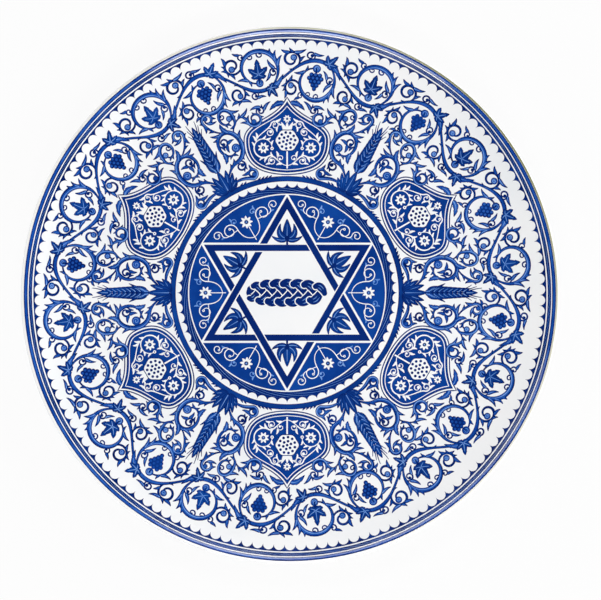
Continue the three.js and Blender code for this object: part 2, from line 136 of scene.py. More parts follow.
MEDALLION_ROPE_INNER = GROUND_RADIUS + MEDALLION_GAP
MEDALLION_ROPE_OUTER = MEDALLION_ROPE_INNER + MEDALLION_ROPE_WIDTH
MEDALLION_TOOTH_TIP = MEDALLION_ROPE_OUTER + MEDALLION_TOOTH_DEPTH
MEDALLION_BAND_INNER = MEDALLION_TOOTH_TIP + MEDALLION_WHITE_WIDTH
MEDALLION_BAND_OUTER = MEDALLION_BAND_INNER + MEDALLION_BAND_WIDTH
STAR_INRADIUS = (GROUND_RADIUS - STAR_TIP_GAP) / 2

FIELD_FOOT = MEDALLION_BAND_OUTER - 0.2
FIELD_INNER = MEDALLION_BAND_OUTER + FIELD_GAP
FIELD_OUTER = SCALLOP_BASE - SCALLOP_DEPTH - FIELD_GAP - float(np.hypot(*MEDALLION_SHIFT))
VINE_WIDTH = VINE_SHARE * (FIELD_OUTER - FIELD_INNER)
VINE_RADIUS = FIELD_OUTER - VINE_WIDTH / 2
PANELS_OUTER = FIELD_OUTER - VINE_WIDTH - FIELD_GAP
PANEL_START = FIELD_INNER + PANEL_FOOT_GAP
PANEL_LENGTH = PANELS_OUTER - PANEL_START


def face_height(radius):
    """Height of the tray's upper face at a distance from its axis."""
    radius = np.asarray(radius, float)
    rim = WELL_HEIGHT + RIM_CURVE * np.maximum(radius - WELL_RADIUS, 0) ** 2
    lip = LIP_HEIGHT + np.sqrt(np.maximum(LIP_RADIUS**2 - (radius - CROWN_RADIUS) ** 2, 0))
    return np.where(radius <= RIM_EDGE, rim, lip)


# Plane geometry


def polar(radius, angle):
    return np.stack([radius * np.cos(angle), radius * np.sin(angle)], -1)


def same(points):
    return np.asarray(points, float)


def mirrored(points):
    return np.asarray(points, float) * (-1, 1)


def turned(points, angle):
    cos, sin = math.cos(angle), math.sin(angle)
    return np.asarray(points, float) @ np.array([[cos, sin], [-sin, cos]])


def shares(line):
    """Even steps from 0 to 1, one for each point of a line."""
    return np.linspace(0, 1, len(line))


def spiral(centre, radius, start, turns, end_radius, steps_per_turn=30):
    steps = max(int(abs(turns) * steps_per_turn), 4)
    share = np.linspace(0, 1, steps + 1)
    return polar(radius + (end_radius - radius) * share, start + FULL_TURN * turns * share) + centre


def bezier(*points, steps=12):
    """Curve through its first and last point, pulled by those between."""
    t = np.linspace(0, 1, steps + 1)[:, None]
    points = [np.asarray(point, float) for point in points]
    while len(points) > 1:
        points = [a + (b - a) * t for a, b in zip(points, points[1:])]
    return points[0]


def led(coil, *path, steps=12):
    """Coil with a curved lead to its first point."""
    return np.concatenate([bezier(*path, coil[0], steps=steps)[:-1], coil])


def directions(line):
    """Unit vectors along a line of points, and to the left of it."""
    along = np.gradient(line, axis=0)
    along /= np.maximum(np.hypot(*along.T), 1e-9)[:, None]
    return along, np.stack([-along[:, 1], along[:, 0]], -1)


def heading(line):
    step = line[-1] - line[-3]
    return math.atan2(step[1], step[0])


def swelling(share, ends, middle, peak=0.35):
    """Width of a brush stroke along its length."""
    rise = np.where(share < peak, share / peak, (1 - share) / (1 - peak))
    return ends + (middle - ends) * np.sin(rise * math.pi / 2) ** 1.6


def crossing(angle_a, distance_a, angle_b, distance_b):
    """Where two lines meet, each given by the direction of its normal and its distance."""
    a, b = polar(1, angle_a), polar(1, angle_b)
    area = a[0] * b[1] - a[1] * b[0]
    x = distance_a * b[1] - distance_b * a[1]
    y = distance_b * a[0] - distance_a * b[0]
    return np.array([x, y]) / area


# Dark edge of a scroll, and the radii from which its boss has a lighter middle and a coil
EDGE_WIDTH = 0.45
FILLED_BOSS = 1.2
COILED_BOSS = 1.8

# Corners of a small dot, and the radius up to which a dot is small
DOT_STEPS = 8
SMALL_DOT = 0.9


class Drawing:
    """Flat shapes of one transfer, each with its ink and the layer it lies in."""

    def __init__(self, cell=CELL):
        self.shapes = []
        self.cell = cell

    def add(self, points, faces, ink, layer):
        self.shapes.append((np.asarray(points, float), faces, ink, layer))

    def include(self, other, *places):
        for place in places:
            for points, faces, ink, layer in other.shapes:
                self.add(place(points), faces, ink, layer)

    def between(self, left, right, ink, layer):
        """Ribbon between two edges with as many points each."""
        widest = np.max(np.hypot(*(left - right).T))
        columns = max(1, math.ceil(widest / self.cell))
        share = np.linspace(0, 1, columns + 1)[None, :, None]
        grid = left[:, None] * (1 - share) + right[:, None] * share
        row = columns + 1
        corners = [i * row + j for i in range(len(left) - 1) for j in range(columns)]
        faces = [(k, k + row, k + row + 1, k + 1) for k in corners]
        self.add(grid.reshape(-1, 2), faces, ink, layer)

    def ribbon(self, line, left, right, ink, layer):
        _, across = directions(line)
        left = line + across * np.broadcast_to(left, len(line))[:, None]
        right = line - across * np.broadcast_to(right, len(line))[:, None]
        self.between(left, right, ink, layer)

    def stroke(self, line, width, ink="line", layer=2, cap=True):
        """Ribbon of a width, with round ends."""
        line = np.asarray(line, float)
        width = np.broadcast_to(width, len(line)).astype(float)
        if cap:
            along, _ = directions(line)
            reach = np.array([[0.95], [0.8], [0.4]])
            bow = np.array([0.25, 0.6, 0.95])
            start = line[0] - along[0] * reach * width[0] / 2
            end = line[-1] + along[-1] * reach[::-1] * width[-1] / 2
            line = np.concatenate([start, line, end])
            width = np.concatenate([width[0] * bow, width, width[-1] * bow[::-1]])
        self.ribbon(line, width / 2, width / 2, ink, layer)

    def patch(self, outline, ink, layer):
        self.add(outline, [tuple(range(len(outline)))], ink, layer)

    def loop(self, outline, width, ink, layer):
        closed = np.concatenate([outline, outline[:1]])
        self.stroke(closed, width, ink, layer, cap=False)

    def dot(self, centre, radius, ink="line", layer=2):
        steps = DOT_STEPS if radius < SMALL_DOT else int(DOT_STEPS + radius * 5)
        rings = max(1, math.ceil(radius / self.cell))
        angle = np.arange(steps) * FULL_TURN / steps
        circles = [polar(radius * (ring + 1) / rings, angle) + centre for ring in range(rings)]
        points = np.concatenate([[centre], *circles])
        faces = [(0, 1 + k, 1 + (k + 1) % steps) for k in range(steps)]
        for ring in range(rings - 1):
            inner = 1 + ring * steps
            outer = inner + steps
            for k in range(steps):
                after = (k + 1) % steps
                faces.append((inner + k, outer + k, outer + after, inner + after))
        self.add(points, faces, ink, layer)

    def boss(self, centre, radius, layer=2, start=0.0, side=1):
        """Round end of a scroll: a dark edge, a lighter middle and a fine coil on it."""
        self.dot(centre, radius, "line", layer)
        if radius > FILLED_BOSS:
            self.dot(centre, radius - EDGE_WIDTH, "fill", layer + 3)
        if radius > COILED_BOSS:
            coil = spiral(centre, radius - EDGE_WIDTH - 0.3, start, side * 1.3, 0.3, 16)
            self.stroke(coil, np.linspace(0.3, 0.5, len(coil)), "light", layer + 4, cap=False)

    def eye(self, centre, radius, layer=5):
        """Round end of a white scroll."""
        self.dot(centre, radius, "white", layer)
        self.dot(centre, radius * 0.4, "line", layer + 2)

    def scroll(self, line, ends, middle, peak=0.35, layer=2):
        """Swelling scroll with a dark edge, a lighter body and a bright streak on it."""
        width = swelling(shares(line), ends, middle, peak)
        self.stroke(line, width, "line", layer)
        body = np.maximum(width - 2 * EDGE_WIDTH, 0)
        first, last = span_of(body > 0.2)
        if last - first < 4:
            return
        body = body[first:last]
        self.ribbon(line[first:last], body * 0.3, body * 0.55, "fill", layer + 3)
        first, last = span_of(width > 0.75 * middle)
        _, across = directions(line)
        streak = line[first:last] - across[first:last] * middle * 0.16
        weight = 0.5 * np.sin(np.linspace(0.15, math.pi - 0.15, len(streak)))
        self.stroke(streak, weight, "light", layer + 4, cap=False)

    def leaf(self, line, width, ink="fill", edge="line", teeth=1, layer=4, vein=True):
        """Leaf along its midrib, with a saw edge where it has more than one tooth."""
        line = np.asarray(line, float)
        share = shares(line)
        saw = 1 - (share * teeth) % 1
        blade = np.sin(math.pi * share**0.62) ** 0.65 * (0.68 + 0.32 * saw**0.7) * width / 2
        self.ribbon(line, blade + 0.12, blade + 0.12, edge, layer)
        first, last = span_of(blade > 0.5)
        if ink == edge or last - first < 4:
            return
        inside = blade[first:last] - 0.35
        self.ribbon(line[first:last], inside, inside, ink, layer + 1)
        if vein:
            end = first + int((last - first) * 0.8)
            self.stroke(line[first:end], np.linspace(0.5, 0.2, end - first), "light", layer + 2, cap=False)

    def leaf_cluster(self, root, angle, size, layer=7):
        """Dark vine leaf of five saw-edged lobes."""
        for lean, length in ((2.05, 0.6), (1.05, 0.85), (0, 1.1)):
            for side in (1, -1) if lean else (1,):
                pull = root + polar(size * length * 0.55, angle + side * lean * 1.15)
                tip = root + polar(size * length, angle + side * lean * 0.9)
                rib = bezier(root, pull, tip, steps=24)
                self.leaf(rib, size * 0.5, "middle", "line", 3, layer + (lean == 0))

    def grapes(self, root, angle, size, layer=7):
        """Bunch of grapes that narrows to its tip."""
        radius = size / 8
        for row, count in enumerate((3, 4, 3, 2, 1)):
            for k in range(count):
                step = np.array([0.9 + 1.55 * row, (k - (count - 1) / 2) * 1.9]) * radius
                berry = root + turned(step, angle)
                self.dot(berry, radius * 1.08, "line", layer + row / 8)
                self.dot(berry + radius * np.array([-0.15, 0.2]), radius * 0.62, "fill", layer + 1)

    def rosette(self, centre, radius, petals=8, layer=5):
        """White flower with a dark eye."""
        for k in range(petals):
            out = polar(1, FULL_TURN * (k + 0.5) / petals)
            rib = np.linspace(centre + out * radius * 0.3, centre + out * radius, 12)
            self.leaf(rib, radius * 3.3 / petals, "white", "white", 1, layer)
        self.dot(centre, radius * 0.42, "white", layer)
        self.dot(centre, radius * 0.33, "line", layer + 2)
        self.dot(centre, radius * 0.14, "light", layer + 3)


def span_of(mask):
    """First true entry and the one after the last."""
    if not mask.any():
        return 0, 0
    return int(np.argmax(mask)), len(mask) - int(np.argmax(mask[::-1]))


# How far along its own stem, in half widths, and how close to it a curl may lie
OWN_WINDOW = 1.6
OWN_CLOSEST = 0.8

# Curls: points in a turn, the radii from which one turns further and bears others, where it is
# widest, and its end and its core as shares of its radius
CURL_STEPS = 26
WIDE_CURL = 2.3
SPROUTING_CURL = 1.9
CURL_PEAK = 0.3
CURL_EYE = 0.36
CURL_CORE = 0.6

# Leaflets: the points of a midrib that need room with their shares of the width, and the
# length from which one has a vein
LEAFLET_CHECKS = ((5, 0.42), (8, 0.36), (11, 0.26))
VEINED_LEAFLET = 5


class Room:
    """Space between the strokes of a drawing, which curls and leaflets fill.

    The images are the copies of the drawing that border on it, and inside tells whether a
    round spot lies in the room.
    """

    # Owner of a copy's points, and the number that stands for no stem
    COPY = -1
    NO_STEM = -2

    def __init__(self, images, inside):
        self.images = images
        self.inside = inside
        self.points = np.zeros((0, 2))
        self.half = np.zeros(0)
        self.owner = np.zeros(0, int)
        self.arc = np.zeros(0)
        self.stems = []

    def block(self, line, half, sprouts=False):
        """Keeps others off a line, and lets curls grow from it if it sprouts."""
        line = np.asarray(line, float)
        lengths = np.hypot(*np.diff(line, axis=0).T)
        arc = np.concatenate([[0], np.cumsum(lengths)])
        for index, image in enumerate(self.images):
            owner = len(self.stems) if index == 0 else self.COPY
            self.points = np.concatenate([self.points, image(line)])
            self.half = np.concatenate([self.half, np.broadcast_to(half, len(line))])
            self.owner = np.concatenate([self.owner, np.full(len(line), owner)])
            self.arc = np.concatenate([self.arc, arc])
        self.stems.append((line, arc) if sprouts else None)

    def spot(self, centre, radius):
        self.block(np.array([centre]), radius)

    def clear(self, centre, radius, margin, number=NO_STEM, arc=0, window=0):
        """Whether a spot keeps its margin to all but the stretch of stem that it grows from."""
        distance = np.hypot(*(self.points - centre).T)
        own = (self.owner == number) & (np.abs(self.arc - arc) < window + OWN_WINDOW * self.half)
        if np.any(distance[own] < radius * OWN_CLOSEST):
            return False
        return np.all(distance[~own] - self.half[~own] > radius + margin)

    def grow(self, kind, drawing, sizes, margin, **style):
        """Grows curls or leaflets from every stem, the largest first and new stems last."""
        for size in sizes:
            number = 0
            while number < len(self.stems):
                if self.stems[number] is not None:
                    kind(number, drawing, size, margin, **style)
                number += 1

    def curls(self, number, drawing, radius, margin, weight=1.0, ink="line", layer=2):
        """Curls of one size along both sides of a stem."""
        line, arc = self.stems[number]
        _, across = directions(line)
        thick = weight * (0.42 + 0.2 * radius)
        reach = radius + thick / 2
        window = radius * 1.3 + 1.6
        for i in range(1, len(line) - 1):
            for side in (1, -1):
                centre = line[i] + across[i] * side * radius
                free = self.inside(centre, reach + margin)
                if not (free and self.clear(centre, reach, margin, number, arc[i], window)):
                    continue
                root = line[i] - centre
                start = math.atan2(root[1], root[0])
                turns = 1.25 if radius > WIDE_CURL else 1.0
                curl = spiral(centre, radius, start, side * turns, radius * 0.34, CURL_STEPS)
                width = swelling(shares(curl), thick * 0.7, thick, CURL_PEAK)
                drawing.stroke(curl, width, ink, layer)
                if ink == "line":
                    drawing.boss(curl[-1], radius * CURL_EYE, layer, heading(curl), side)
                else:
                    drawing.dot(curl[-1], radius * CURL_EYE, ink, layer)
                self.block(curl, width / 2, sprouts=radius > SPROUTING_CURL)
                self.spot(centre, radius * CURL_CORE)

    def free_curls(self, drawing, radii, margin, spots):
        """Puts curls of their own wherever the room has a blank left, the largest first."""
        for radius in radii:
            for number, centre in enumerate(spots):
                if self.inside(centre, radius + margin) and self.clear(centre, radius, margin):
                    curl = spiral(centre, radius - 0.3, number, 1.2, radius * 0.4, CURL_STEPS)
                    drawing.stroke(curl, swelling(shares(curl), 0.6, 1.0, CURL_PEAK))
                    drawing.boss(curl[-1], radius * 0.42, 2, heading(curl))
                    self.block(curl, 0.4, sprouts=True)
                    self.spot(centre, radius * CURL_CORE)

    def leaflets(
        self, number, drawing, length, margin, lean=0.75, width=0.36, ink="fill", edge="line", layer=4
    ):
        """Small leaves of one length along both sides of a stem, forwards or backwards."""
        line, arc = self.stems[number]
        along, _ = directions(line)
        for i in range(1, len(line) - 1, 2):
            for side, way in ((1, 1), (-1, 1), (1, -1), (-1, -1)):
                ahead = turned(along[i] * way, side * way * lean)
                bend = np.array([-ahead[1], ahead[0]]) * side * way * length * 0.24
                rib = bezier(line[i], line[i] + ahead * length * 0.5 - bend, line[i] + ahead * length)
                spots = [(rib[k], length * width * share) for k, share in LEAFLET_CHECKS]
                if not all(self.inside(spot, radius + margin) for spot, radius in spots):
                    continue
                reach = length * 0.4
                if all(self.clear(s, r, margin, number, arc[i], reach) for s, r in spots):
                    drawing.leaf(rib, length * width, ink, edge, 1, layer, vein=length > VEINED_LEAFLET)
                    self.block(rib[3:], length * width * 0.4)


# Borders and rings


def ring(drawing, inner, outer, ink, layer, steps=480):
    angle = np.linspace(0, FULL_TURN, steps + 1)
    drawing.between(polar(outer, angle), polar(inner, angle), ink, layer)


def toothed_ring(drawing, straight, base, depth, pitch, ink, layer, steps=10):
    """Ring with one smooth edge, and pointed teeth between round lobes along the other."""
    total = round(FULL_TURN * base / pitch)
    lobe = np.sin(np.linspace(-UP, UP, steps + 1))[:-1]
    angle = ((np.arange(total)[:, None] + 0.5 + lobe / 2) * FULL_TURN / total).ravel()
    edge = np.tile(base + depth * (1 - np.sqrt(1 - lobe**2)), total)
    angle = np.append(angle, angle[0] + FULL_TURN)
    edge = np.append(edge, edge[0])
    drawing.between(polar(straight, angle), polar(edge, angle), ink, layer)


def strands(drawing, inner, outer, length, count, width, layer):
    """Fine light lines that cross a band at a flat slant, as the strands of a rope do."""
    share = np.linspace(0, 1, 12)
    radius = inner + (outer - inner) * share
    weight = width * np.sin(math.pi * (0.08 + 0.84 * share))
    for k in range(count):
        angle = FULL_TURN * k / count + share * length / inner
        drawing.stroke(polar(radius, angle), weight, "light", layer, cap=False)


def rim_band():
    drawing = Drawing(cell=0.25)
    ring(drawing, RIM_BAND_INNER, CROWN_RADIUS, "line", 1)
    ring(drawing, RIM_BAND_INNER + 0.55, CROWN_RADIUS - 0.55, "fill", 3)
    return drawing


def rope_band():
    drawing = Drawing()
    ring(drawing, ROPE_INNER, ROPE_OUTER, "line", 1)
    strands(drawing, ROPE_INNER + 0.3, ROPE_OUTER - 0.3, 8.5, 200, 0.14, 3)
    return drawing


def scallop_border():
    drawing = Drawing()
    toothed_ring(drawing, SCALLOP_OUTER, SCALLOP_BASE, -SCALLOP_DEPTH, SCALLOP_PITCH, "line", 1)
    return drawing


def medallion_rope_band():
    drawing = Drawing(cell=8)
    inner, outer = MEDALLION_ROPE_INNER, MEDALLION_ROPE_OUTER
    toothed_ring(drawing, inner, outer, MEDALLION_TOOTH_DEPTH, MEDALLION_TOOTH_PITCH, "navy", 1)
    strands(drawing, inner + 0.3, outer - 0.2, 26, 36, 0.2, 3)
    return drawing


def medallion_band():
    drawing = Drawing(cell=8)
    ring(drawing, MEDALLION_BAND_INNER, MEDALLION_BAND_OUTER, "line", 1, 360)
    ring(drawing, MEDALLION_BAND_INNER + 0.5, MEDALLION_BAND_OUTER - 0.5, "middle", 2, 360)
    return drawing


# Star

SLANT = math.pi / 6
STAR_CLEAR = STAR_INRADIUS + STAR_OUTLINE_WIDTH


def star_bar():
    """One bent bar: it passes over one neighbour and ends short of the two that cross it."""
    drawing = Drawing(cell=60)
    inner = STAR_INRADIUS - STAR_BAR_WIDTH
    far_end = inner - STAR_CROSSING_GAP
    near_end = STAR_INRADIUS + STAR_CROSSING_GAP
    other = math.pi - SLANT
    corners = [
        crossing(other, STAR_INRADIUS, UP, near_end),
        crossing(other, inner, UP, near_end),
        crossing(SLANT, inner, other, inner),
        crossing(SLANT, inner, -SLANT, far_end),
        crossing(SLANT, STAR_INRADIUS, -SLANT, far_end),
        crossing(SLANT, STAR_INRADIUS, other, STAR_INRADIUS),
    ]
    drawing.patch(corners, "navy", 1)
    return drawing


def pomegranate(drawing, middle, radius, layer=5):
    """White fruit with a crown and rows of dark seeds."""
    angle = np.linspace(0, FULL_TURN, 36, endpoint=False)
    body = polar(radius * (1 + 0.05 * np.cos(6 * angle)), angle) * (1.0, 0.95) + middle
    drawing.patch(body, "white", layer)
    drawing.loop(body, 0.5, "line", layer + 2)
    for x in (-0.28, 0, 0.28):
        foot = middle + (x * radius * 0.5, radius * 0.8)
        tip = middle + (x * radius * 1.8, radius * 1.6)
        rib = bezier(foot, middle + (x * radius * 0.9, radius * 1.1), tip, steps=10)
        drawing.leaf(rib, radius * 0.34, "white", "white", 1, layer)
    for row, (count, share) in enumerate(((1, 0), (6, 0.35), (11, 0.7))):
        for k in range(count):
            seed = middle + polar(radius * share, k * FULL_TURN / count + row * 0.3)
            drawing.dot(seed, radius * 0.125, "line", layer + 3)


def white_fill(room, drawing, radii, lengths, margin, ink="white"):
    room.grow(room.curls, drawing, radii, margin, weight=0.55, ink=ink, layer=5)
    room.grow(room.leaflets, drawing, lengths, margin * 0.8, ink=ink, edge=ink, layer=5)


def white_scroll(room, half, line, middle, eye):
    """White scroll that ends in an eye."""
    half.stroke(line, swelling(shares(line), 0.4, middle), "white", 5)
    half.eye(line[-1], eye)
    room.block(line, middle / 2, sprouts=True)
    room.spot(line[-1], eye)


def white_rosette(room, drawing, centre, radius):
    drawing.rosette(np.asarray(centre, float), radius)
    room.spot(centre, radius)


def ground_panel():
    """Blue ground between two tips of the star, with a white flower and scrolls in it."""
    drawing = Drawing(cell=60)
    spread = math.acos(STAR_CLEAR / GROUND_RADIUS)
    arc = np.linspace(UP - spread, SLANT + spread, 40)
    valley = crossing(SLANT, STAR_CLEAR, UP, STAR_CLEAR)
    drawing.patch(np.concatenate([[valley], polar(GROUND_RADIUS, arc)]), "ground", 1)
    upright = Drawing(cell=60)
    foot = math.hypot(*valley)
    side = np.array([-math.cos(math.pi / 3), math.sin(math.pi / 3)])

    def inside(centre, radius):
        if centre[0] < radius + 0.1 or math.hypot(*centre) + radius > GROUND_RADIUS - 0.8:
            return False
        return (centre - (0, foot)) @ side > radius + 0.8

    room = Room([same, mirrored], inside)
    middle = np.array([0.0, foot + 14.2])
    upright.stroke(np.linspace((0, foot + 2.2), middle, 12), 0.5, "white", 4)
    white_rosette(room, upright, middle, 3.8)
    half = Drawing(cell=60)
    large = spiral((11.2, foot + 14.0), 4.4, math.pi, -1.2, 1.5)
    large = led(large, (0.2, foot + 4), (6.0, foot + 5.2), large[0] - (0, 3.6), steps=16)
    white_scroll(room, half, large, 0.6, 0.8)
    fork = large[14]
    small = spiral((19.2, foot + 15.4), 2.9, math.pi * 1.15, -1.1, 1.0)
    small = led(small, fork, fork + (5.0, -0.6), small[0] - (0.6, 3.4), steps=14)
    white_scroll(room, half, small, 0.5, 0.65)
    white_fill(room, half, (2.1,), (2.4,), 0.9, "light")
    upright.include(half, same, mirrored)
    drawing.include(upright, lambda points: turned(points, -SLANT))
    return drawing


def star_bud():
    """Tulip on a short stalk between two long sepals."""
    drawing = Drawing(cell=60)
    root = STAR_CLEAR
    rib = np.linspace((0, root + 2.6), (0, root + 14.2), 30)
    drawing.leaf(rib, 5.6, "middle", "line", 1, 4)
    half = Drawing(cell=60)
    petal = bezier((0.5, root + 2.4), (6.6, root + 4.4), (3.9, root + 11.4), steps=26)
    half.leaf(petal, 4.2, "middle", "line", 1, 6)
    sepal = bezier((0.2, root + 1.9), (5.2, root + 0.4), (9.2, root + 4.0), steps=20)
    half.leaf(sepal, 3.0, "middle", "line", 1, 8)
    drawing.dot(np.array([0, root + 2.6]), 1.5, "line", 11)
    drawing.stroke(np.linspace((0, root - 0.9), (0, root + 2), 8), 1.2, "line", 3)
    drawing.include(half, same, mirrored)
    return drawing


def loaf_motif():
    """Braided loaf seen from above: strands that overlap to the left and right in turn."""
    drawing = Drawing(cell=60)
    corner = (STAR_INRADIUS - STAR_BAR_WIDTH) / math.cos(SLANT)
    length = 2 * (corner - LOAF_CLEARANCE)
    pitch = (length - 7) / LOAF_PLAITS
    tail = np.linspace((-length / 2 + 0.5, 0), (-length / 2 + 16, 0), 24)
    drawing.leaf(tail, 10, "navy", "navy", 1, -1)
    for k in range(2 * LOAF_PLAITS):
        side = 1 if k % 2 else -1
        x = ((k + 0.5) / 2 - LOAF_PLAITS / 2) * pitch - 0.8
        bulge = (1 - abs(2 * x / length) ** 2.6) ** 0.5
        reach = side * LOAF_WIDTH / 2 * bulge
        root = (x - 3.2 * bulge, reach * 0.62)
        rib = bezier(root, (x + 1.4 * bulge, reach * 0.86), (x + 4.6 * bulge, -reach * 0.06), steps=26)
        width = (1.6 + 4.6 * bulge) * np.sin(math.pi * (0.14 + 0.72 * shares(rib))) ** 0.5
        drawing.stroke(rib, width + 1.2, "white", 1.5 * k)
        drawing.stroke(rib, width, "navy", 1.5 * k + 0.5)
        _, across = directions(rib)
        for offset in (-0.2, 0.14):
            mark = rib[7:-6] + across[7:-6] * (width[7:-6] * offset)[:, None]
            weight = 0.45 * np.sin(np.linspace(0.2, math.pi - 0.2, len(mark)))
            drawing.stroke(mark, weight, "light", 1.5 * k + 0.95, cap=False)
    return drawing


# Field

# Radii of curls and lengths of leaves, in the order in which they fill a room by turns
LARGE_CURLS = (5.4, 4.6, 3.9, 3.3, 2.8)
LONG_LEAVES = (7.0, 6.0)
SMALL_CURLS = (2.4, 2.1, 1.8)
FREE_CURLS = (3.4, 2.9, 2.4, 2.0)
SHORT_LEAVES = (5.0, 4.2, 3.5, 2.9, 2.4)

# Panel: shares of its length that shape its edge
OGEE_HEIGHTS = (0.01, 0.14, 0.45, 0.7)
OGEE_STEPS = 26

# Spray: its turn from the panels, how far its room reaches in over the medallion's band and out
# into the vine, and its gap to a panel
SPRAY_ANGLE = math.pi / PANEL_COUNT
SPRAY_MARGIN = 1.1
SPRAY_REACH = 6
SPRAY_GAP = 1.4


def grid(across, along, step=0.9):
    """Spots in rows over a rectangle."""
    return [np.array([x, y]) for y in np.arange(*along, step) for x in np.arange(*across, step)]


def blue_fill(room, drawing, margin, weight, spots):
    room.grow(room.curls, drawing, LARGE_CURLS, margin, weight=weight)
    room.grow(room.leaflets, drawing, LONG_LEAVES, margin + 0.3, lean=0.5, width=0.3)
    room.grow(room.curls, drawing, SMALL_CURLS, margin, weight=weight)
    room.free_curls(drawing, FREE_CURLS, margin, spots)
    room.grow(room.leaflets, drawing, SHORT_LEAVES, margin, lean=0.6, width=0.4)


def blue_scroll(room, half, line, ends, middle, boss, layer=2):
    """Scroll that ends in a boss."""
    half.scroll(line, ends, middle, layer=layer)
    half.boss(line[-1], boss, layer, heading(line))
    room.block(line, middle * 0.42, sprouts=True)
    room.spot(line[-1], boss)


def blue_leaf(room, drawing, rib, width, teeth=1, layer=6):
    drawing.leaf(rib, width, "fill", "line", teeth, layer)
    room.block(rib, width * 0.38)


def ogee_side(grow=0.0):
    """Right-hand edge of the panel from its foot to its tip, moved outwards by grow."""
    half = PANEL_WIDTH / 2
    foot, hip, waist, neck = (PANEL_START + PANEL_LENGTH * share for share in OGEE_HEIGHTS)
    lower = bezier((0, PANEL_START), (half * 0.7, foot), (half, hip), (half, waist), steps=OGEE_STEPS)
    upper = bezier((half, waist), (half, neck), (half * 0.3, neck), (0, PANELS_OUTER), steps=OGEE_STEPS)
    right = np.concatenate([lower[:-1], upper])
    if grow:
        _, across = directions(right)
        right = right - across * grow
        right = right[right[:, 0] > 0.02]
        right = np.concatenate([[on_axis(right[1], right[0])], right, [on_axis(right[-2], right[-1])]])
    return right


def on_axis(before, end):
    """Where a line through two points meets the axis."""
    return end + (end - before) * end[0] / (before[0] - end[0])


def ogee_outline(grow=0.0):
    right = ogee_side(grow)
    return np.concatenate([right, mirrored(right[1:-1])[::-1]])


def ogee_panel():
    """Blue panel with a white pomegranate between flowers in white scrolls."""
    drawing = Drawing()
    edge = ogee_side()
    heights = PANEL_START + PANEL_LENGTH * (0.5 - 0.5 * np.cos(np.linspace(0, math.pi, 48)))
    half_width = np.maximum(np.interp(heights, edge[:, 1], edge[:, 0]), 0.02)
    right = np.stack([half_width, heights], -1)
    drawing.between(mirrored(right), right, "ground", 1)
    drawing.loop(ogee_outline(-0.3), 0.6, "line", 2)
    drawing.loop(ogee_outline(-1.6), 0.45, "white", 3)
    drawing.loop(ogee_outline(1.2), 0.7, "line", 2)
    inner = ogee_side(-1.5)
    middle = np.array([0, PANEL_START + PANEL_LENGTH * 0.45])
    fruit = PANEL_LENGTH * FRUIT_SHARE
    pomegranate(drawing, middle, fruit)

    def inside(centre, radius):
        low, high = PANEL_START + 2, PANELS_OUTER - 2
        if not low < centre[1] < high or centre[0] < radius + 0.2:
            return False
        if centre[0] > np.interp(centre[1], edge[:, 1], edge[:, 0]) - 1.5:
            return False
        return np.min(np.hypot(*(inner - centre).T)) > radius + 0.5

    room = Room([same, mirrored], inside)
    room.spot(middle, fruit + 0.3)
    room.spot(middle + (0, fruit * 1.3), 2.0)
    low = PANEL_START + 4.2
    drawing.stroke(np.linspace((0, PANEL_START + 2.8), middle - (0, fruit), 12), 0.9, "white", 4)
    half = Drawing()
    flower = (14.2, PANEL_START + 14.8)
    large = spiral(flower, 5.9, -2.2, 0.86, 5.2)
    fork = large[13]
    large = led(large, (0.2, low), (5.0, low + 0.6), large[0] - (3.4, -1.0), steps=14)
    white_scroll(room, half, large, 0.9, 1.0)
    white_rosette(room, half, flower, 3.4)
    upper = spiral((7.2, PANEL_START + 28.4), 2.6, 0.2, 1.15, 0.9)
    upper = led(upper, fork, fork + (0.2, 4.4), upper[0] - (-0.6, 3.0), steps=16)
    white_scroll(room, half, upper, 0.75, 0.8)
    white_rosette(room, drawing, (0.0, PANEL_START + 32.2), 2.3)
    white_fill(room, half, (2.6, 2.1), (3.6, 2.8), 0.8)
    drawing.include(half, same, mirrored)
    return drawing


def spray_room(vine):
    """Room of half a spray, between its axis, the medallion, the panel beside it and the vine."""
    outline = ogee_side(SPRAY_GAP)
    neighbour = turned(ogee_outline(SPRAY_GAP), -SPRAY_ANGLE)
    border = polar(1, -SPRAY_ANGLE)

    def inside(centre, radius):
        reach = math.hypot(*centre)
        if reach - radius < FIELD_FOOT - SPRAY_MARGIN or reach + radius > PANELS_OUTER + SPRAY_REACH:
            return False
        if centre[0] < radius + 0.2 or centre @ border > -radius - 0.2:
            return False
        local = turned(centre, SPRAY_ANGLE)
        width = np.interp(local[1], outline[:, 1], outline[:, 0], left=0, right=0)
        return abs(local[0]) > width and np.min(np.hypot(*(neighbour - centre).T)) > radius + 0.3

    room = Room([same, mirrored], inside)
    strokes = np.concatenate([points for points, *_ in vine.shapes])
    strokes = strokes[np.hypot(*strokes.T) < PANELS_OUTER + 8]
    for step in range(-1, 3):
        room.block(turned(strokes, FULL_TURN * step / VINE_WAVES), 0.2)
    room.block(polar(FIELD_FOOT, UP - np.linspace(0, SPRAY_ANGLE, 34)), 0.1, sprouts=True)
    return room


